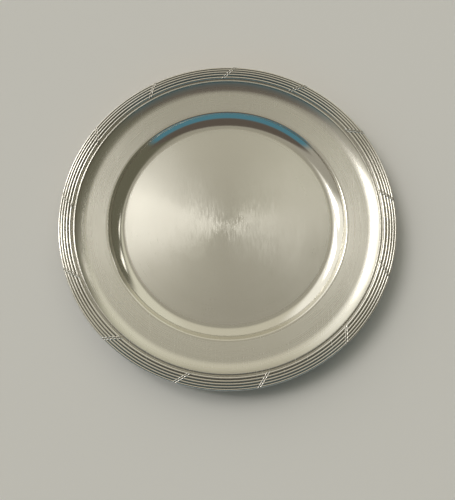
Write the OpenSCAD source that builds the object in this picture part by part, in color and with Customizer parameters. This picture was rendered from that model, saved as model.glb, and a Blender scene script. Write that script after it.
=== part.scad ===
// Round silver-plated plate with a reeded border crossed by slanted ribbon ties.
// The plate lies flat: +Z rises out of the well, and the origin is the centre of the underside.
// All lengths are in millimetres and all angles in degrees.

/* [Plate] */
// Overall diameter, over the outermost reed
plate_d = 300; // [270:1:360]
// Overall height, from the underside of the well to the top of the reeds
plate_h = 19.5; // [16.5:0.5:24]
// Thickness of the sheet that the dish is spun from
sheet_t = 1.4; // [1:0.1:1.8]

/* [Well and marly] */
// Diameter of the flat bottom of the well
well_d = 188; // [150:1:226]
// Height that the wall of the well climbs before the shoulder
wall_rise = 7.4; // [5:0.2:9]
// Steepest slope of the well's wall
wall_slope = 60; // [45:1:70]
// Bend radius of the shoulder between wall and marly, on the underside
shoulder_r = 0.6; // [0.4:0.1:2]
// Radius of the hollow bend that turns the marly up to the border
upturn_r = 18; // [12:0.5:20]
// Slope of the marly where it meets the border
upturn_slope = 42; // [36:1:48]

/* [Border] */
// Number of reeds side by side
reed_n = 5; // [3:1:7]
// Width of the innermost reed
reed_w_in = 2.6; // [2:0.1:3.2]
// Width of the outermost reed
reed_w_out = 2; // [1.6:0.1:2.6]
// How far neighbouring reeds run into each other
reed_merge = 0.05; // [0.02:0.01:0.15]
// Radius of the gentle crown that the reeds lie on
crown_r = 22; // [18:1:40]
// Distance from the outer edge in to the top of the crown
crown_in = 3.5; // [2:0.5:6]
// Height of the lowest reed's middle above the flange that carries the border
reed_seat = 0.84; // [0.7:0.02:1.5]
// Radius of the thin bead along the border's inner edge
bead_r = 0.7; // [0.5:0.1:1]
// Height of that bead above the flange
bead_h = 1.25; // [1.1:0.05:2.2]
// Width of the hollow between the bead and the innermost reed
cove_w = 1.5; // [1:0.1:2.5]
// Metal left under the hollow
cove_floor = 0.5; // [0.3:0.1:0.8]

/* [Lip] */
// Thickness of the lip that turns down over the flange's edge
lip_w = 1; // [0.8:0.1:1.4]
// How far the lip stands in from the outermost reed
lip_in = 0.5; // [0.3:0.1:0.8]
// Play between the lip and the flange's edge
lip_play = 0.05; // [0:0.05:0.2]

/* [Ribbon ties] */
// Ties on the first length of border
ties_1 = 6; // [4:1:6]
// Ties on the second length of border
ties_2 = 7; // [4:1:7]
// Angle between neighbouring ties on one length
tie_pitch = 27.1; // [18:0.1:28]
// Angle of the first tie of the first length
first_tie_at = -46.1; // [-180:0.1:180]
// Angle between the two ties on either side of the first joint
joint_gap = 30; // [12:0.1:36]
// Hairline left between the two lengths where they butt
joint_play = 0.05; // [0.02:0.01:0.2]
// Width of a ribbon
tie_w = 2.4; // [1.6:0.1:3.5]
// Thickness of a ribbon over the reeds
tie_t = 0.4; // [0.25:0.05:0.7]
// Slant of a ribbon away from straight across the reeds
tie_slant = 44; // [20:1:50]

/* [Hidden] */
arc_steps = 10;   // straight steps in each bend of the sheet
reed_steps = 12;  // straight steps over each reed
turn_n = 192;     // fineness of turned shapes
plate_r = plate_d / 2;
well_r = well_d / 2;

// Reeds, numbered from 0 at the inside
function reed_w(i) = reed_w_in + (reed_w_out - reed_w_in) * i / (reed_n - 1);
function reed_rad(i) = reed_w(i) / 2 + reed_merge;
function reed_c(i) = i == reed_n - 1 ? plate_r - reed_rad(i)
                   : reed_c(i + 1) - (reed_w(i) + reed_w(i + 1)) / 2;
function crown_drop(i) = crown_r - sqrt(crown_r ^ 2 - (reed_c(i) - plate_r + crown_in) ^ 2);
last_reed = reed_n - 1;
crown_z = plate_h - max([for (i = [0:last_reed]) reed_rad(i) - crown_drop(i)]);
function reed_z(i) = crown_z - crown_drop(i);
function reed_mid(i) = [reed_c(i), reed_z(i)];

// Flange, bead and hollow
flange_z = min([for (i = [0:last_reed]) reed_z(i)]) - reed_seat;
cove_out = reed_c(0) - reed_rad(0);
bead_c = cove_out - cove_w - bead_r;
bead_z = flange_z + bead_h - bead_r;
foot_r = bead_c - bead_r;
lip_r = plate_r - lip_in;
lip_z = flange_z - sheet_t;
flange_r = lip_r - lip_w - lip_play;

// Wall of the well: a hollow bend from flat to wall_slope, then the shoulder
wall_r = wall_rise / (1 - cos(wall_slope));
wall_c = [well_r, sheet_t + wall_r];
shoulder_top_r = shoulder_r + sheet_t;
shoulder_c = wall_c + (wall_r + shoulder_top_r) * [sin(wall_slope), -cos(wall_slope)];

// Marly: straight between the shoulder and the upturn, and tangent to both
upturn_c = [foot_r - upturn_r * sin(upturn_slope), flange_z + upturn_r * cos(upturn_slope)];
span_v = upturn_c - shoulder_c;
marly_slope = atan2(span_v[1], span_v[0]) - asin((shoulder_top_r + upturn_r) / norm(span_v));
under_slope = acos((upturn_r * cos(upturn_slope) + sheet_t) / (upturn_r + sheet_t));

// Points along a hollow bend (centre above) and a shoulder (centre below), by slope
function steps(a, b) = [for (k = [0:arc_steps]) a + (b - a) * k / arc_steps];
function hollow(c, r, a, b) = [for (s = steps(a, b)) c + r * [sin(s), -cos(s)]];
function shoulder(c, r, a, b) = [for (s = steps(a, b)) c + r * [-sin(s), cos(s)]];
function arc(c, r, a, b, n) = [for (k = [0:n]) let (t = a + (b - a) * k / n) c + r * [cos(t), sin(t)]];
function reversed(v) = [for (k = [len(v) - 1:-1:0]) v[k]];

dish_top = concat(
    [[0, sheet_t]],
    hollow(wall_c, wall_r, 0, wall_slope),
    shoulder(shoulder_c, shoulder_top_r, wall_slope, marly_slope),
    hollow(upturn_c, upturn_r, marly_slope, upturn_slope),
    [[flange_r, flange_z]]);
dish_under = concat(
    [[0, 0]],
    hollow(wall_c, wall_r + sheet_t, 0, wall_slope),
    shoulder(shoulder_c, shoulder_r, wall_slope, marly_slope),
    hollow(upturn_c, upturn_r + sheet_t, marly_slope, under_slope),
    [[flange_r, lip_z]]);

// Valley between reed i and the next one out, when both are thickened by grow
function valley(i, grow) =
    let (a = reed_mid(i), b = reed_mid(i + 1), gap = norm(b - a),
         along = (gap ^ 2 + (reed_rad(i) + grow) ^ 2 - (reed_rad(i + 1) + grow) ^ 2) / (2 * gap),
         up = sqrt(max(0, (reed_rad(i) + grow) ^ 2 - along ^ 2)))
    a + (along * (b - a) + up * [a[1] - b[1], b[0] - a[0]]) / gap;
function side_cut(i, grow) = acos(reed_rad(i) / (reed_rad(i) + grow));
function toward(i, p) = let (t = atan2(p[1] - reed_z(i), p[0] - reed_c(i))) t < -90 ? t + 360 : t;

// Round tops of all the reeds, from the innermost one's inner side out to angle end
function reed_tops(grow, end) = [for (i = [0:last_reed])
    each arc(reed_mid(i), reed_rad(i) + grow,
             i == 0 ? 180 - side_cut(0, grow) : toward(i, valley(i - 1, grow)),
             i == last_reed ? end : toward(i, valley(i, grow)), reed_steps)];

// Floor of the hollow, from the bead's side to the innermost reed's side
cove_rise = reed_z(0) - bead_z;
cove_depth = bead_z + cove_rise / 2 - flange_z - cove_floor;
cove_line = [for (k = [1:arc_steps - 1]) let (t = 180 * k / arc_steps, part = (1 - cos(t)) / 2)
    [cove_out - cove_w * (1 - part), bead_z + cove_rise * part - cove_depth * sin(t)]];

border_line = concat(
    [[foot_r, flange_z]],
    arc([bead_c, bead_z], bead_r, 180, 0, arc_steps),
    cove_line,
    reed_tops(0, -acos((lip_r - reed_c(last_reed)) / reed_rad(last_reed))),
    arc([lip_r - lip_w / 2, lip_z + lip_w / 2], lip_w / 2, 0, -180, arc_steps),
    [[lip_r - lip_w, flange_z]]);

// Angles: ties are numbered from 1, first along one length and then along the other
tie_n = ties_1 + ties_2;
second_tie_at = first_tie_at + (ties_1 - 1) * tie_pitch + joint_gap;
last_gap = 360 - (tie_n - 2) * tie_pitch - joint_gap;
function tie_at(k) = k <= ties_1 ? first_tie_at + (k - 1) * tie_pitch
                                 : second_tie_at + (k - ties_1 - 1) * tie_pitch;
joint_at = [first_tie_at - last_gap / 2, second_tie_at - joint_gap / 2];
play_angle = joint_play / plate_r * 180 / PI;
tie_mid_r = (plate_r + cove_out) / 2;
tie_reach = (plate_r - cove_out) / 2 * tan(tie_slant) + tie_w / cos(tie_slant);
tie_span = 2 * atan(tie_reach / cove_out);
tie_len = (plate_r - cove_out) / cos(tie_slant) + 2 * tie_w;

function moulding_name(k) = str("border_moulding_", k);
function tie_name(k) = str("ribbon_tie_", k < 10 ? "0" : "", k);

// Spun sheet body: well, wall, marly and the flange under the border
module dish() {
    color("silver")
        rotate_extrude($fn = turn_n)
            polygon(concat(dish_top, reversed(dish_under)));
}

// One length of the border, from its joint to the other length's joint
module border_moulding(k) {
    from = joint_at[k - 1] + play_angle / 2;
    to = (k == 1 ? joint_at[1] : joint_at[0] + 360) - play_angle / 2;
    color("gainsboro")
        rotate_extrude(angle = to - from, start = from, $fn = turn_n)
            polygon(border_line);
}

// Ribbon section: a band of even thickness over the round tops of the reeds
module tie_section() {
    polygon(concat(reed_tops(tie_t, side_cut(last_reed, tie_t)), reversed(reed_tops(0, 0))));
}

// One ribbon tie: the ribbon section over a short arc, cut to a slanted strip
module ribbon_tie(k) {
    color("whitesmoke")
        intersection() {
            rotate_extrude(angle = tie_span, start = tie_at(k) - tie_span / 2, $fn = turn_n)
                tie_section();
            rotate([0, 0, tie_at(k)])
                translate([tie_mid_r, 0, flange_z])
                    rotate([0, 0, -tie_slant])
                        translate([-tie_len / 2, -tie_w / 2, 0])
                            cube([tie_len, tie_w, plate_h]);
        }
}

dish();
for (k = [1:2])
    border_moulding(k);
for (k = [1:tie_n])
    ribbon_tie(k);
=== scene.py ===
import bpy
import bmesh
import math
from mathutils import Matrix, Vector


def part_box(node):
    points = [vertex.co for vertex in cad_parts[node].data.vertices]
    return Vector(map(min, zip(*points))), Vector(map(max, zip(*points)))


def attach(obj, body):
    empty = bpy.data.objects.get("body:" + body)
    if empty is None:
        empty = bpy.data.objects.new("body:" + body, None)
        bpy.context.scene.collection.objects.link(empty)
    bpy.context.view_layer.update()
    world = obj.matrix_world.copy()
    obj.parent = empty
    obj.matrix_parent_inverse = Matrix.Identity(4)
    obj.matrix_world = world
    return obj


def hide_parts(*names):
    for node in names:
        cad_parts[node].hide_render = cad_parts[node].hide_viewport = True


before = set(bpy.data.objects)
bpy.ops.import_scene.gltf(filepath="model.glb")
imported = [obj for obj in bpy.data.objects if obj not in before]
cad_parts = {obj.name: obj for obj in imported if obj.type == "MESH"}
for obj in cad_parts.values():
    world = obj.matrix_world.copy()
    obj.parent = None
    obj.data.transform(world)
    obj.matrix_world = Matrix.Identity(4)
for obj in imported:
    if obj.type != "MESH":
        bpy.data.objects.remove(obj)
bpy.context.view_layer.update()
print("frame loaded:", len(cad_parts), "nodes")

mm = 0.001

# driving sizes, read off the frame
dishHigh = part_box("dish")[1]
mouldingNodes = sorted(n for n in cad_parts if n.startswith("border_moulding"))
tieNodes = sorted(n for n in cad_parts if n.startswith("ribbon_tie"))
mouldingBoxes = [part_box(n) for n in mouldingNodes]
plateR = max(high.x for low, high in mouldingBoxes)
reedTopZ = max(high.z for low, high in mouldingBoxes)
lipZ = min(low.z for low, high in mouldingBoxes)
flangeZ = dishHigh.z
flangeR = dishHigh.x
sheetT = flangeZ - lipZ

dish = {
    "wellR": 94 * mm,          # radius of the flat bottom
    "wallRise": 7.4 * mm,      # climb of the hollow wall before its shoulder
    "wallSlope": 60,           # its steepest slope, degrees
    "shoulderR": 0.6 * mm,     # bend radius of the shoulder, underside
    "upturnR": 18 * mm,        # hollow bend from the marly up to the border
    "upturnSlope": 42,
    "bendSteps": 22,           # rings in each bend
    "turnSteps": 384,          # steps round the plate
    "sharp": 40,               # edges steeper than this stay crisp, degrees
}
border = {
    "reedCount": 5,
    "reedInner": 2.6 * mm,     # width of the innermost reed
    "reedOuter": 2.0 * mm,
    "reedMerge": 0.05 * mm,
    "crownR": 22 * mm,         # gentle crown that the reeds lie on
    "crownIn": 3.5 * mm,
    "beadR": 0.7 * mm,
    "beadH": 1.25 * mm,
    "coveW": 1.5 * mm,
    "coveFloor": 0.5 * mm,
    "lipW": 1.0 * mm,
    "lipIn": 0.5 * mm,
    "reedSteps": 14,           # steps over each reed
    "turnSteps": 480,          # steps for a whole turn
    "joints": (-62.05, 104.4), # angles of the two joints between the lengths, degrees
    "jointPlay": 0.05 * mm,
    "sharp": 50,
}
ties = {
    "firstLength": 6,
    "secondLength": 7,
    "firstAt": -46.1,          # angle of the first tie, degrees
    "secondAt": 119.4,
    "pitch": 27.1,
    "slant": 44,
    "width": 2.4 * mm,
    "thick": 0.4 * mm,
    "groove": 0.75,            # how far the middle lies below the two raised edges
    "bridging": 0.5,           # how much of the valleys between the reeds it spans
    "alongSteps": 9,           # steps over each reed
    "acrossSteps": 16,
    "edgeAt": 0.7,             # where the raised edges lie, as a share of the half width
    "edgeWidth": 0.2,
    "sunk": 0.05 * mm,         # how far the ribbon's underside lies inside the reeds
    "ends": (176, 4),          # where it starts and stops round the first and last reed, degrees
    "sharp": 60,               # edges steeper than this stay crisp, degrees
}
cameraSet = {
    "distance": 3.158,         # above the rim, in plate radii
    "back": 1.029,             # towards the viewer, in plate radii
    "side": 0.0,
    "tilt": 14.68,             # degrees away from straight down
    "lens": 40.3,
}


# sections are rows of points (radius, height)

def reedPlan(b):
    # centre radius, centre height and radius of each reed, from the inside out
    n = b["reedCount"]
    widths = [b["reedInner"] + (b["reedOuter"] - b["reedInner"]) * i / (n - 1) for i in range(n)]
    radii = [w / 2 + b["reedMerge"] for w in widths]
    centres = [plateR - radii[-1]]
    for i in range(n - 2, -1, -1):
        centres.insert(0, centres[0] - (widths[i] + widths[i + 1]) / 2)
    crownC = plateR - b["crownIn"]
    drops = [b["crownR"] - math.sqrt(b["crownR"] ** 2 - (c - crownC) ** 2) for c in centres]
    crownZ = reedTopZ - max(r - d for r, d in zip(radii, drops))
    return [(c, crownZ - d, r) for c, d, r in zip(centres, drops, radii)]


reeds = reedPlan(border)
rimZ = reeds[-1][1]
coveOut = reeds[0][0] - reeds[0][2]
beadC = coveOut - border["coveW"] - border["beadR"]
beadZ = flangeZ + border["beadH"] - border["beadR"]
footR = beadC - border["beadR"]
lipR = plateR - border["lipIn"]


def arc(centre, radius, start, end, steps):
    # points on a circle between two angles, in degrees from outwards and anticlockwise
    out = []
    for k in range(steps + 1):
        a = math.radians(start + (end - start) * k / steps)
        out.append((centre[0] + radius * math.cos(a), centre[1] + radius * math.sin(a)))
    return out


def hollow(centre, radius, slopeA, slopeB, steps):
    return arc(centre, radius, slopeA - 90, slopeB - 90, steps)


def shoulder(centre, radius, slopeA, slopeB, steps):
    return arc(centre, radius, slopeA + 90, slopeB + 90, steps)


def sinDeg(a):
    return math.sin(math.radians(a))


def cosDeg(a):
    return math.cos(math.radians(a))


def dishSection(d):
    n = d["bendSteps"]
    wallR = d["wallRise"] / (1 - cosDeg(d["wallSlope"]))
    wallC = (d["wellR"], sheetT + wallR)
    topR = d["shoulderR"] + sheetT
    reach = wallR + topR
    shoulderC = (wallC[0] + reach * sinDeg(d["wallSlope"]), wallC[1] - reach * cosDeg(d["wallSlope"]))
    upC = (footR - d["upturnR"] * sinDeg(d["upturnSlope"]), flangeZ + d["upturnR"] * cosDeg(d["upturnSlope"]))
    span = (upC[0] - shoulderC[0], upC[1] - shoulderC[1])
    lean = math.asin((topR + d["upturnR"]) / math.hypot(*span))
    slope = math.degrees(math.atan2(span[1], span[0]) - lean)
    underCos = (d["upturnR"] * cosDeg(d["upturnSlope"]) + sheetT) / (d["upturnR"] + sheetT)
    under = math.degrees(math.acos(underCos))
    rings = [d["wellR"] * k / 8 for k in range(8)]
    marly = 6      # rings along the straight part of the marly
    top = [(r, sheetT) for r in rings]
    top += hollow(wallC, wallR, 0, d["wallSlope"], n)
    top += shoulder(shoulderC, topR, d["wallSlope"], slope, n // 2)
    turn = hollow(upC, d["upturnR"], slope, d["upturnSlope"], n)
    top += between(top[-1], turn[0], marly) + turn + [(flangeR, flangeZ)]
    low = [(r, 0) for r in rings]
    low += hollow(wallC, wallR + sheetT, 0, d["wallSlope"], n)
    low += shoulder(shoulderC, d["shoulderR"], d["wallSlope"], slope, n // 2)
    turn = hollow(upC, d["upturnR"] + sheetT, slope, under, n)
    low += between(low[-1], turn[0], marly) + turn + [(flangeR, lipZ)]
    return top + low[::-1]


def between(a, b, count):
    # points strictly between two others
    return [(a[0] + (b[0] - a[0]) * k / count, a[1] + (b[1] - a[1]) * k / count) for k in range(1, count)]


def crossing(one, two):
    # upper crossing of two circles (centre radius, centre height, radius)
    dx, dz = two[0] - one[0], two[1] - one[1]
    gap = math.hypot(dx, dz)
    along = (gap ** 2 + one[2] ** 2 - two[2] ** 2) / (2 * gap)
    up = math.sqrt(max(0, one[2] ** 2 - along ** 2))
    return (one[0] + (along * dx - up * dz) / gap, one[1] + (along * dz + up * dx) / gap)


def angleOn(circle, point):
    a = math.degrees(math.atan2(point[1] - circle[1], point[0] - circle[0]))
    return a + 360 if a < -90 else a


def reedTops(circles, start, end, steps):
    # round tops of a row of circles, each between its crossings with its neighbours
    valleys = [crossing(a, b) for a, b in zip(circles, circles[1:])]
    out = []
    for i, c in enumerate(circles):
        a = start if i == 0 else angleOn(c, valleys[i - 1])
        b = end if i == len(circles) - 1 else angleOn(c, valleys[i])
        out += arc(c[:2], c[2], a, b, steps)[(1 if i else 0):]
    return out


def borderSection(b):
    n = b["reedSteps"]
    lipC = (lipR - b["lipW"] / 2, lipZ + b["lipW"] / 2)
    rise = reeds[0][1] - beadZ
    depth = beadZ + rise / 2 - flangeZ - b["coveFloor"]
    hollowLine = []
    for k in range(1, 10):
        part = (1 - cosDeg(18 * k)) / 2
        hollowLine.append((coveOut - b["coveW"] * (1 - part), beadZ + rise * part - depth * sinDeg(18 * k)))
    last = math.degrees(math.acos((lipR - reeds[-1][0]) / reeds[-1][2]))
    points = [(footR, flangeZ)]
    points += arc((beadC, beadZ), b["beadR"], 180, 0, n)
    points += hollowLine
    points += reedTops(reeds, 180, -last, n)
    points += arc(lipC, b["lipW"] / 2, 0, -180, 8)
    points += [(lipR - b["lipW"], flangeZ)]
    return points


def addNode(tree, kind, inputs=None, **settings):
    n = tree.nodes.new(kind)
    for key, value in settings.items():
        setattr(n, key, value)
    for key, value in (inputs or {}).items():
        if isinstance(value, bpy.types.NodeSocket):
            tree.links.new(value, n.inputs[key])
        else:
            n.inputs[key].default_value = value
    return n


def sums(tree, operation, a, b=0.0, clamp=False):
    return addNode(tree, "ShaderNodeMath", {0: a, 1: b}, operation=operation, use_clamp=clamp).outputs[0]


def turnedTree():
    # turns a section, given as a row of points in the XZ plane, about Z
    tree = bpy.data.node_groups.new("turnedSection", "GeometryNodeTree")
    face = tree.interface
    face.new_socket("Section", in_out="INPUT", socket_type="NodeSocketGeometry")
    face.new_socket("From", in_out="INPUT", socket_type="NodeSocketFloat")
    face.new_socket("To", in_out="INPUT", socket_type="NodeSocketFloat")
    face.new_socket("Steps", in_out="INPUT", socket_type="NodeSocketInt")
    face.new_socket("Material", in_out="INPUT", socket_type="NodeSocketMaterial")
    face.new_socket("Geometry", in_out="OUTPUT", socket_type="NodeSocketGeometry")
    given = tree.nodes.new("NodeGroupInput").outputs
    size = addNode(tree, "GeometryNodeAttributeDomainSize", {0: given["Section"]}).outputs["Point Count"]
    index = tree.nodes.new("GeometryNodeInputIndex").outputs[0]
    grid = addNode(tree, "GeometryNodeMeshGrid",
                   {"Vertices X": sums(tree, "ADD", given["Steps"], 1), "Vertices Y": size})
    column = sums(tree, "MODULO", index, size)
    row = sums(tree, "FLOOR", sums(tree, "DIVIDE", index, size))
    place = tree.nodes.new("GeometryNodeInputPosition").outputs[0]
    point = addNode(tree, "GeometryNodeSampleIndex", data_type="FLOAT_VECTOR", domain="POINT")
    tree.links.new(given["Section"], point.inputs["Geometry"])
    tree.links.new(place, point.inputs["Value"])
    tree.links.new(column, point.inputs["Index"])
    share = sums(tree, "DIVIDE", row, given["Steps"])
    angle = sums(tree, "ADD", given["From"],
                 sums(tree, "MULTIPLY", share, sums(tree, "SUBTRACT", given["To"], given["From"])))
    spun = addNode(tree, "ShaderNodeVectorRotate",
                   {"Vector": point.outputs[0], "Angle": angle}, rotation_type="Z_AXIS")
    moved = addNode(tree, "GeometryNodeSetPosition",
                    {"Geometry": grid.outputs["Mesh"], "Position": spun.outputs[0]})
    closed = addNode(tree, "GeometryNodeMergeByDistance", {"Geometry": moved.outputs[0], "Distance": 1e-6})
    finishTree(tree, closed.outputs[0], given["Material"])
    return tree


def finishTree(tree, geometry, material):
    real = addNode(tree, "GeometryNodeRealizeInstances", {"Geometry": geometry})
    painted = addNode(tree, "GeometryNodeSetMaterial", {"Geometry": real.outputs[0], "Material": material})
    end = tree.nodes.new("NodeGroupOutput")
    tree.links.new(painted.outputs[0], end.inputs["Geometry"])


def grown(name, base, tree, values):
    # puts a node tree on a base mesh, and hands back its result as a plain mesh object
    seed = bpy.data.objects.new(name + "Seed", base)
    bpy.context.scene.collection.objects.link(seed)
    mod = seed.modifiers.new(tree.name, "NODES")
    mod.node_group = tree
    sockets = {s.name: s.identifier for s in tree.interface.items_tree if s.in_out == "INPUT"}
    for key, value in values.items():
        mod[sockets[key]] = value
    deps = bpy.context.evaluated_depsgraph_get()
    mesh = bpy.data.meshes.new_from_object(seed.evaluated_get(deps))
    bpy.data.objects.remove(seed)
    mesh.name = name
    piece = bpy.data.objects.new(name, mesh)
    bpy.context.scene.collection.objects.link(piece)
    return piece


def pointRow(name, points, closed=False):
    mesh = bpy.data.meshes.new(name)
    rows = list(points) + ([points[0]] if closed else [])
    mesh.from_pydata([(r, 0, z) for r, z in rows], [(k, k + 1) for k in range(len(rows) - 1)], [])
    return mesh


def tidyMesh(piece, sharpAngle):
    # closes open ends, turns faces outwards and shades smooth except at sharp edges
    bm = bmesh.new()
    bm.from_mesh(piece.data)
    bmesh.ops.remove_doubles(bm, verts=bm.verts, dist=1e-7)
    rims = [e for e in bm.edges if e.is_boundary]
    if rims:
        bmesh.ops.holes_fill(bm, edges=rims, sides=0)
    bmesh.ops.recalc_face_normals(bm, faces=bm.faces)
    for f in bm.faces:
        f.smooth = True
    for e in bm.edges:
        e.smooth = len(e.link_faces) == 2 and e.calc_face_angle() < math.radians(sharpAngle)
    bm.to_mesh(piece.data)
    bm.free()


def vectorOf(tree, operation, a, b=None):
    inputs = {0: a} if b is None else {0: a, 1: b}
    return addNode(tree, "ShaderNodeVectorMath", inputs, operation=operation).outputs[0]


def scaled(tree, vector, factor):
    return addNode(tree, "ShaderNodeVectorMath", {0: vector, "Scale": factor}, operation="SCALE").outputs[0]


def lengthOf(tree, vector):
    return addNode(tree, "ShaderNodeVectorMath", {0: vector}, operation="LENGTH").outputs["Value"]


def noiseOf(tree, vector, scale, **inputs):
    return addNode(tree, "ShaderNodeTexNoise", {"Vector": vector, "Scale": scale, **inputs}).outputs


def about(tree, colour):
    # turns a noise colour, from 0 to 1, into a push either way
    return vectorOf(tree, "SUBTRACT", colour, (0.5, 0.5, 0.5))


def adding(tree, value, noise, middle, amount, clamp=False):
    # value, plus a noise that swings either way of its middle
    swing = sums(tree, "MULTIPLY", sums(tree, "SUBTRACT", noise, middle), amount)
    return sums(tree, "ADD", value, swing, clamp=clamp)


def silverMaterial(name, look):
    mat = bpy.data.materials.new(name)
    mat.use_nodes = True
    tree = mat.node_tree
    tree.nodes.clear()
    coords = tree.nodes.new("ShaderNodeTexCoord").outputs["Object"]
    flat = vectorOf(tree, "MULTIPLY", coords, (1, 1, 0))
    radius = lengthOf(tree, flat)
    outward = vectorOf(tree, "NORMALIZE", flat)

    # direction across the turned marks, wandering a little as hand polishing leaves it
    drift = noiseOf(tree, coords, look["driftScale"], Detail=2.0)["Color"]
    across = vectorOf(tree, "ADD", flat, scaled(tree, about(tree, drift), look["drift"]))
    # fine crossing strokes, which soften the centre of the turned marks
    finer = addNode(tree, "ShaderNodeMapping", {"Vector": coords, "Scale": look["grainScale"]}).outputs[0]
    grain = noiseOf(tree, finer, 1.0, Detail=2.0)
    strokes = scaled(tree, about(tree, grain["Color"]), rampOf(tree, radius, look["strokes"]))
    across = vectorOf(tree, "ADD", across, strokes)
    across = vectorOf(tree, "MULTIPLY", across, (1, 1, 0))
    across = vectorOf(tree, "NORMALIZE", across)

    # turned marks: noise that is fine along the radius and long around the plate
    ringHeight = sums(tree, "MULTIPLY", radius, look["ringFine"])
    ring = addNode(tree, "ShaderNodeCombineXYZ", {"Z": ringHeight}).outputs[0]
    ringPlace = vectorOf(tree, "ADD", ring, scaled(tree, outward, look["ringLong"]))
    rings = noiseOf(tree, ringPlace, 1.0, Detail=3.0, Roughness=0.6)[0]

    # slow unevenness of the finish, and stray scratches
    clouds = noiseOf(tree, coords, look["cloudScale"], Detail=3.0)[0]
    scratches = scratchSum(tree, coords, look)

    rough = rampOf(tree, radius, look["roughness"])
    rough = adding(tree, rough, rings, 0.5, look["ringRough"])
    rough = adding(tree, rough, clouds, 0.5, look["cloudRough"])
    rough = sums(tree, "ADD", rough, sums(tree, "MULTIPLY", scratches, look["scratchRough"]), clamp=True)
    rough = adding(tree, rough, grain[0], 0.5, rampOf(tree, radius, look["grain"]), clamp=True)
    for mark in look["marks"]:
        line = longScratch(tree, flat, mark)
        rough = sums(tree, "ADD", rough, sums(tree, "MULTIPLY", line, look["markRough"]), clamp=True)
        scratches = sums(tree, "MAXIMUM", scratches, line)

    # painted shade: the share of the darker colour is shade painted into hollows, taken from the ribbons'
    # edge mask or from a ramp over the radius; the clouds then add random tarnish
    if "grooveShade" in look:
        shine = addNode(tree, "ShaderNodeAttribute", attribute_name="shine").outputs["Fac"]
        shadeAndTarnish = addNode(tree, "ShaderNodeMapRange", {"Value": shine, "From Min": 0.15, "From Max": 0.8,
                          "To Min": look["grooveShade"], "To Max": 0.0}).outputs[0]
    else:
        shadeAndTarnish = rampOf(tree, radius, look["shadeAndTarnish"])
    shadeAndTarnish = adding(tree, shadeAndTarnish, clouds, look["cloudMiddle"], look["cloudTarnish"], clamp=True)
    colour = addNode(tree, "ShaderNodeMix", {"Factor": shadeAndTarnish}, data_type="RGBA")
    colour.inputs["A"].default_value = (*look["silver"], 1)
    colour.inputs["B"].default_value = (*look["shadeAndTarnishColour"], 1)

    height = sums(tree, "ADD", sums(tree, "MULTIPLY", rings, look["ringDepth"]),
                  sums(tree, "MULTIPLY", scratches, -look["scratchDepth"]))
    wave = noiseOf(tree, coords, look["waveScale"], Detail=1.0)[0]
    height = sums(tree, "ADD", height, sums(tree, "MULTIPLY", wave, look["waveDepth"]))
    bump = addNode(tree, "ShaderNodeBump", {"Strength": 1.0, "Distance": 1.0, "Height": height}).outputs[0]

    shader = addNode(tree, "ShaderNodeBsdfPrincipled",
                     {"Base Color": colour.outputs["Result"], "Roughness": rough, "Normal": bump,
                      "Metallic": 1.0, "Anisotropic": look["brushed"], "Tangent": across})
    end = tree.nodes.new("ShaderNodeOutputMaterial")
    tree.links.new(shader.outputs[0], end.inputs["Surface"])
    return mat


def spread(tree, value, low, high):
    # 0 at low and 1 at high, in a straight line between them
    return addNode(tree, "ShaderNodeMapRange", {"Value": value, "From Min": low, "From Max": high}).outputs[0]


def rampOf(tree, radius, stops):
    # a value that changes with the distance from the axis: stops are (radius in mm, value)
    first, last = stops[0][0] * mm, stops[-1][0] * mm
    share = spread(tree, radius, first, last)
    ramp = addNode(tree, "ShaderNodeValToRGB", {"Fac": share})
    marks = ramp.color_ramp.elements
    while len(marks) < len(stops):
        marks.new(0.5)
    for k, (at, value) in enumerate(stops):
        marks[k].position = (at * mm - first) / (last - first)
        marks[k].color = (value, value, value, 1)
    return ramp.outputs["Color"]


def scratchSum(tree, coords, look):
    # sparse long thin marks in a few directions
    total = None
    for k, turn in enumerate(look["scratchTurns"]):
        bent = addNode(tree, "ShaderNodeMapping",
                       {"Vector": coords, "Location": (0.37 * k, 0.11 * k, 0.05 * k),
                        "Rotation": (0, 0, math.radians(turn)),
                        "Scale": (look["scratchFine"], look["scratchLong"], 1)}).outputs[0]
        lines = noiseOf(tree, bent, 1.0, Detail=1.0, Distortion=0.6)[0]
        mark = spread(tree, lines, look["scratchCut"], look["scratchCut"] + 0.06)
        total = mark if total is None else sums(tree, "MAXIMUM", total, mark)
    return total


def longScratch(tree, flat, mark):
    # one curved scratch: part of a thin ring round a point, given in millimetres and degrees
    x, y, r, middle, half, width = mark
    away = vectorOf(tree, "SUBTRACT", flat, (x * mm, y * mm, 0))
    off = sums(tree, "ABSOLUTE", sums(tree, "SUBTRACT", lengthOf(tree, away), r * mm))
    line = spread(tree, off, width * mm, 0.0)
    aim = (cosDeg(middle), sinDeg(middle), 0)
    facing = addNode(tree, "ShaderNodeVectorMath", {0: vectorOf(tree, "NORMALIZE", away), 1: aim},
                     operation="DOT_PRODUCT").outputs["Value"]
    ends = spread(tree, facing, cosDeg(half), cosDeg(half * 0.6))
    return sums(tree, "MULTIPLY", line, ends)


def valleyStops(base, valley):
    # painted shade: low on the crests, high in the hollows between them
    valleys = [crossing(a, b)[0] for a, b in zip(reeds, reeds[1:])]
    stops = [(footR - 0.2 * mm, valley), (beadC, base), (coveOut - border["coveW"] * 0.6, valley)]
    for i, c in enumerate(reeds):
        stops.append((c[0], base))
        if i < len(valleys):
            stops.append((valleys[i], valley))
    stops.append((plateR, (base + valley) / 2))
    return [(r / mm, v) for r, v in stops]


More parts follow.
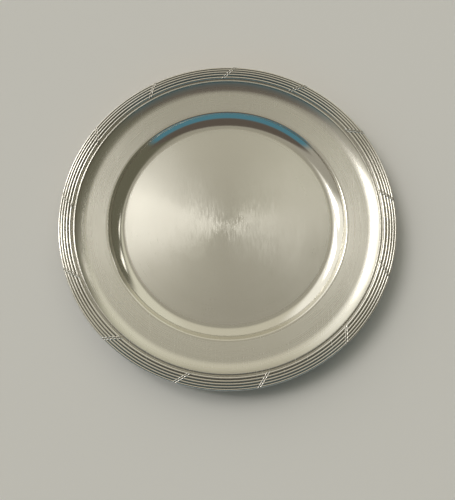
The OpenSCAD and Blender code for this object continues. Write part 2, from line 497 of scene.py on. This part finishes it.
wellEdge = dish["wellR"] / mm
dishLook = {
    "silver": (0.78, 0.76, 0.69),
    "shadeAndTarnishColour": (0.52, 0.50, 0.42),
    "roughness": [(0, 0.34), (wellEdge - 1, 0.31), (wellEdge + 1, 0.12), (wellEdge + 14, 0.11),
                  (wellEdge + 16, 0.29), (wellEdge + 32, 0.27), (wellEdge + 36, 0.24), (wellEdge + 41, 0.34)],
    # painted shade: darker in the crease at the well's edge and most at the foot of the border, over a low
    # even tone
    "shadeAndTarnish": [(0, 0.10), (wellEdge - 4, 0.12), (wellEdge + 2, 0.2), (wellEdge + 20, 0.08),
                (wellEdge + 36, 0.1), (wellEdge + 41, 0.55), (plateR / mm, 0.5)],
    "brushed": 0.68, "grainScale": (2000, 120, 120),
    "driftScale": 20.0, "drift": 0.04,
    "strokes": [(0, 0.05), (wellEdge * 0.5, 0.03), (wellEdge, 0.01), (plateR / mm, 0.0)],
    "grain": [(0, 0.10), (wellEdge - 6, 0.07), (wellEdge, 0.0), (plateR / mm, 0.0)],
    # long scratches: centre x and y, radius, middle angle, half length in degrees, width
    "marks": [(-40, -95, 78, 72, 13, 0.22), (-30, -70, 58, 58, 16, 0.18), (60, -20, 70, 196, 12, 0.2),
              (-70, 30, 74, -22, 10, 0.2), (10, 80, 66, -100, 14, 0.18), (-20, -10, 34, 118, 22, 0.16),
              (95, 60, 118, 215, 7, 0.2), (30, -60, 26, 150, 20, 0.16), (-90, -60, 92, 20, 8, 0.18)],
    "markRough": 0.22,
    "ringFine": 1400.0, "ringLong": 1.6, "ringRough": 0.14, "ringDepth": 2.0e-6,
    "cloudScale": 22.0, "cloudRough": 0.10, "cloudTarnish": 0.25, "cloudMiddle": 0.45,
    "scratchTurns": (8, 52, 97, 141), "scratchFine": 1100.0, "scratchLong": 22.0, "scratchCut": 0.71,
    "scratchRough": 0.09, "scratchDepth": 1.5e-6,
    "waveScale": 30.0, "waveDepth": 3.0e-5,
}
borderLook = dict(dishLook, **{
    "silver": (0.84, 0.82, 0.76),
    # painted shade: the dark colour and the stops below darken the valleys between the reeds, the cove and
    # the bead's foot
    "shadeAndTarnishColour": (0.22, 0.20, 0.15),
    "roughness": [(footR / mm - 1, 0.2), (plateR / mm, 0.16)],
    "shadeAndTarnish": valleyStops(0.02, 0.75),
    "brushed": 0.0,
    "ringDepth": 5.0e-7, "ringRough": 0.05, "waveDepth": 1.0e-5, "cloudTarnish": 0.1, "marks": (),
})
tieLook = dict(borderLook, **{
    "silver": (0.86, 0.84, 0.79),
    "roughness": [(footR / mm - 1, 0.26), (plateR / mm, 0.26)],
    "grooveShade": 0.7,              # painted shade: how dark the ribbons are away from their raised edges
})
dishSilver = silverMaterial("dishSilver", dishLook)
borderSilver = silverMaterial("borderSilver", borderLook)
tieSilver = silverMaterial("tieSilver", tieLook)
print("materials made")


turnSection = turnedTree()


def makeTurned(name, section, fromDeg, toDeg, steps, material, closed, sharp):
    piece = grown(name, pointRow(name, section, closed), turnSection,
                  {"From": math.radians(fromDeg), "To": math.radians(toDeg),
                   "Steps": steps, "Material": material})
    tidyMesh(piece, sharp)
    return piece


dishPiece = makeTurned("dishBody", dishSection(dish), 0, 360, dish["turnSteps"],
                       dishSilver, False, dish["sharp"])
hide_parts("dish")
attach(dishPiece, "root")
print("dish turned:", len(dishPiece.data.polygons), "faces")

playDeg = math.degrees(border["jointPlay"] / plateR) / 2
spans = [(border["joints"][0], border["joints"][1]), (border["joints"][1], border["joints"][0] + 360)]
for name, (a, b) in zip(mouldingNodes, spans):
    steps = round(border["turnSteps"] * (b - a) / 360)
    piece = makeTurned("borderLength" + name[-1], borderSection(border), a + playDeg, b - playDeg, steps,
                       borderSilver, True, border["sharp"])
    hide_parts(name)
    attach(piece, "root")
    print(piece.name, "turned:", len(piece.data.polygons), "faces")


def tieTree():
    # copies one ribbon round the border: two runs, each evenly pitched
    tree = bpy.data.node_groups.new("ribbonTies", "GeometryNodeTree")
    face = tree.interface
    face.new_socket("Ribbon", in_out="INPUT", socket_type="NodeSocketGeometry")
    for label in ("First Count", "Second Count"):
        face.new_socket(label, in_out="INPUT", socket_type="NodeSocketInt")
    for label in ("First Angle", "Second Angle", "Pitch"):
        face.new_socket(label, in_out="INPUT", socket_type="NodeSocketFloat")
    face.new_socket("Material", in_out="INPUT", socket_type="NodeSocketMaterial")
    face.new_socket("Geometry", in_out="OUTPUT", socket_type="NodeSocketGeometry")
    given = tree.nodes.new("NodeGroupInput").outputs
    index = tree.nodes.new("GeometryNodeInputIndex").outputs[0]
    total = sums(tree, "ADD", given["First Count"], given["Second Count"])
    points = addNode(tree, "GeometryNodePoints", {"Count": total, "Position": (0, 0, 0)})
    late = sums(tree, "GREATER_THAN", index, sums(tree, "SUBTRACT", given["First Count"], 0.5))
    firstRun = sums(tree, "ADD", given["First Angle"], sums(tree, "MULTIPLY", index, given["Pitch"]))
    place = sums(tree, "SUBTRACT", index, given["First Count"])
    secondRun = sums(tree, "ADD", given["Second Angle"], sums(tree, "MULTIPLY", place, given["Pitch"]))
    change = sums(tree, "MULTIPLY", late, sums(tree, "SUBTRACT", secondRun, firstRun))
    angle = sums(tree, "ADD", firstRun, change)
    turn = addNode(tree, "ShaderNodeCombineXYZ", {"Z": angle}).outputs[0]
    copies = addNode(tree, "GeometryNodeInstanceOnPoints",
                     {"Points": points.outputs[0], "Instance": given["Ribbon"], "Rotation": turn})
    finishTree(tree, copies.outputs[0], given["Material"])
    return tree


def crestHeight(crests, r):
    # height of the line over the reeds' crests; below everything outside them
    for (ra, za), (rb, zb) in zip(crests, crests[1:]):
        if ra <= r <= rb:
            return za + (zb - za) * (r - ra) / (rb - ra)
    return -1


def ribbonMesh(t):
    # one ribbon at angle 0: it slants across the reeds and follows their tops, less deep in the valleys
    half = t["width"] / 2 / cosDeg(t["slant"])
    middle = (plateR + coveOut) / 2
    sheets, unshaded = ([], []), []
    crests = [(c, h + radius) for c, h, radius in reeds]
    for j in range(t["acrossSteps"] + 1):
        v = -1 + 2 * j / t["acrossSteps"]
        edge = math.exp(-((abs(v) - t["edgeAt"]) / t["edgeWidth"]) ** 2)
        body = (1 - v ** 8) * (1 - t["groove"] + t["groove"] * edge)
        for sheet, lift in zip(sheets, (t["thick"] * max(body, 0.05), -t["sunk"])):
            row = []
            lifted = [(c, h, radius + lift) for c, h, radius in reeds]
            for r, z in reedTops(lifted, *t["ends"], t["alongSteps"]):
                r = min(max(r, coveOut), plateR)
                if lift > 0:
                    z += t["bridging"] * max(0, crestHeight(crests, r) + lift - z)
                    # edge mask that keeps the raised edges free of the painted shade
                    unshaded.append(edge)
                a = (v * half - (r - middle) * math.tan(math.radians(t["slant"]))) / r
                row.append((r * math.cos(a), r * math.sin(a), z))
            sheet.append(row)
    n, count = len(sheets[0]), len(sheets[0][0])
    verts = [point for sheet in sheets for row in sheet for point in row]
    faces = []
    for side in (0, 1):
        for j in range(n - 1):
            for k in range(count - 1):
                a = side * n * count + j * count + k
                faces.append((a, a + 1, a + count + 1, a + count))
    mesh = bpy.data.meshes.new("ribbon")
    mesh.from_pydata(verts, [], faces)
    bm = bmesh.new()
    bm.from_mesh(mesh)
    bmesh.ops.bridge_loops(bm, edges=[e for e in bm.edges if e.is_boundary])
    bmesh.ops.recalc_face_normals(bm, faces=bm.faces)
    for f in bm.faces:
        f.smooth = True
    for e in bm.edges:
        e.smooth = len(e.link_faces) == 2 and e.calc_face_angle() < math.radians(t["sharp"])
    bm.to_mesh(mesh)
    bm.free()
    # 1 on the raised edges, which stay bright, and 0 in the groove and at the sides, where shade is painted
    shine = mesh.attributes.new("shine", "FLOAT", "POINT")
    for k, value in enumerate(unshaded):
        shine.data[k].value = value
    return mesh


tiePiece = grown("ribbonTies", ribbonMesh(ties), tieTree(),
                 {"First Count": ties["firstLength"], "Second Count": ties["secondLength"],
                  "First Angle": math.radians(ties["firstAt"]),
                  "Second Angle": math.radians(ties["secondAt"]),
                  "Pitch": math.radians(ties["pitch"]), "Material": tieSilver})
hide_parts(*tieNodes)
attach(tiePiece, "root")
print("ties laid:", len(tiePiece.data.polygons), "faces")


studio = {
    "floor": (0.80, 0.785, 0.75),
    "floorSize": 12,
    "room": (0.20, 0.195, 0.165),
    # large soft surfaces round the plate, later ones over earlier ones:
    # direction of the middle, half widths and softness in degrees, colour, strength
    "surfaces": {
        "paleWall": {"az": 95, "el": 25, "halfAz": 45, "halfEl": 41, "soft": 9,
                     "colour": (0.68, 0.65, 0.545), "power": 1.0},
        "ceiling": {"az": 90, "el": 90, "halfAz": 185, "halfEl": 26, "soft": 9,
                    "colour": (0.40, 0.38, 0.32), "power": 1.0},
        "paleCurtain": {"az": 63, "el": 30, "halfAz": 12, "halfEl": 42, "soft": 6,
                        "colour": (0.80, 0.785, 0.67), "power": 1.0},
        "sideWall": {"az": 195, "el": 30, "halfAz": 22, "halfEl": 50, "soft": 8,
                     "colour": (0.42, 0.40, 0.35), "power": 1.0},
        "darkSide": {"az": 2, "el": 34, "halfAz": 48, "halfEl": 44, "soft": 5,
                     "colour": (0.15, 0.145, 0.105), "power": 1.0},
        "darkFront": {"az": 268, "el": 63, "halfAz": 62, "halfEl": 29, "soft": 5,
                      "colour": (0.125, 0.104, 0.088), "power": 1.0},
        "blueCloth": {"az": 268, "el": 17, "halfAz": 56, "halfEl": 18, "soft": 4,
                      "colour": (0.09, 0.24, 0.32), "power": 1.0},
        "windowGlow": {"az": 143, "el": 30, "halfAz": 31, "halfEl": 40, "soft": 6,
                       "colour": (1.0, 0.98, 0.92), "power": 1.15},
        "windowLeft": {"az": 162, "el": 48, "halfAz": 6, "halfEl": 12, "soft": 3,
                       "colour": (1.0, 0.98, 0.95), "power": 9.5},
        "windowRight": {"az": 137, "el": 48, "halfAz": 6, "halfEl": 12, "soft": 3,
                        "colour": (1.0, 0.98, 0.95), "power": 7.5},
        "lamp": {"az": 36, "el": 57, "halfAz": 2.5, "halfEl": 4, "soft": 1,
                 "colour": (1.0, 0.97, 0.9), "power": 2.5},
        "lowLamp": {"az": 43, "el": 41, "halfAz": 3, "halfEl": 8, "soft": 1.5,
                    "colour": (1.0, 0.97, 0.9), "power": 2.0},
    },
}


def makeFloor(s):
    bm = bmesh.new()
    bmesh.ops.create_grid(bm, x_segments=1, y_segments=1, size=s["floorSize"] / 2)
    mesh = bpy.data.meshes.new("floor")
    bm.to_mesh(mesh)
    bm.free()
    floor = bpy.data.objects.new("floor", mesh)
    bpy.context.scene.collection.objects.link(floor)
    mat = bpy.data.materials.new("floorPaper")
    mat.use_nodes = True
    shader = mat.node_tree.nodes["Principled BSDF"]
    shader.inputs["Base Color"].default_value = (*s["floor"], 1)
    shader.inputs["Roughness"].default_value = 0.9
    mesh.materials.append(mat)


def makeSurround(s):
    world = bpy.data.worlds.new("studio")
    world.use_nodes = True
    tree = world.node_tree
    tree.nodes.clear()
    ray = tree.nodes.new("ShaderNodeTexCoord").outputs["Generated"]
    axes = addNode(tree, "ShaderNodeSeparateXYZ", {0: ray}).outputs
    azimuth = sums(tree, "ARCTAN2", axes[1], axes[0])
    height = sums(tree, "ARCSINE", axes[2])
    total = None
    for p in s["surfaces"].values():
        away = sums(tree, "SUBTRACT", azimuth, math.radians(p["az"]))
        away = sums(tree, "ARCTAN2", sums(tree, "SINE", away), sums(tree, "COSINE", away))
        away = sums(tree, "ABSOLUTE", away)
        rise = sums(tree, "ABSOLUTE", sums(tree, "SUBTRACT", height, math.radians(p["el"])))
        mask = sums(tree, "MULTIPLY", softEdge(tree, away, p["halfAz"], p["soft"]),
                    softEdge(tree, rise, p["halfEl"], p["soft"]))
        mix = addNode(tree, "ShaderNodeMix", {"Factor": mask}, data_type="RGBA")
        if total is None:
            mix.inputs["A"].default_value = (*s["room"], 1)
        else:
            tree.links.new(total, mix.inputs["A"])
        mix.inputs["B"].default_value = (*[c * p["power"] for c in p["colour"]], 1)
        total = mix.outputs["Result"]
    background = addNode(tree, "ShaderNodeBackground", {"Color": total, "Strength": 1.0})
    end = tree.nodes.new("ShaderNodeOutputWorld")
    tree.links.new(background.outputs[0], end.inputs["Surface"])
    bpy.context.scene.world = world


def softEdge(tree, angle, half, soft):
    return addNode(tree, "ShaderNodeMapRange",
                   {"Value": angle, "From Min": math.radians(half + soft),
                    "From Max": math.radians(half - soft)},
                   interpolation_type="SMOOTHSTEP").outputs[0]


def makeCamera(c):
    cam = bpy.data.objects.new("camera", bpy.data.cameras.new("camera"))
    cam.data.lens = c["lens"]
    cam.data.sensor_width = 36
    cam.location = (c["side"] * plateR, -c["back"] * plateR, rimZ + c["distance"] * plateR)
    cam.rotation_euler = (math.radians(c["tilt"]), 0, 0)
    bpy.context.scene.collection.objects.link(cam)
    bpy.context.scene.camera = cam


makeFloor(studio)
makeSurround(studio)
makeCamera(cameraSet)
bpy.context.scene.view_settings.view_transform = "Standard"
print("studio made")
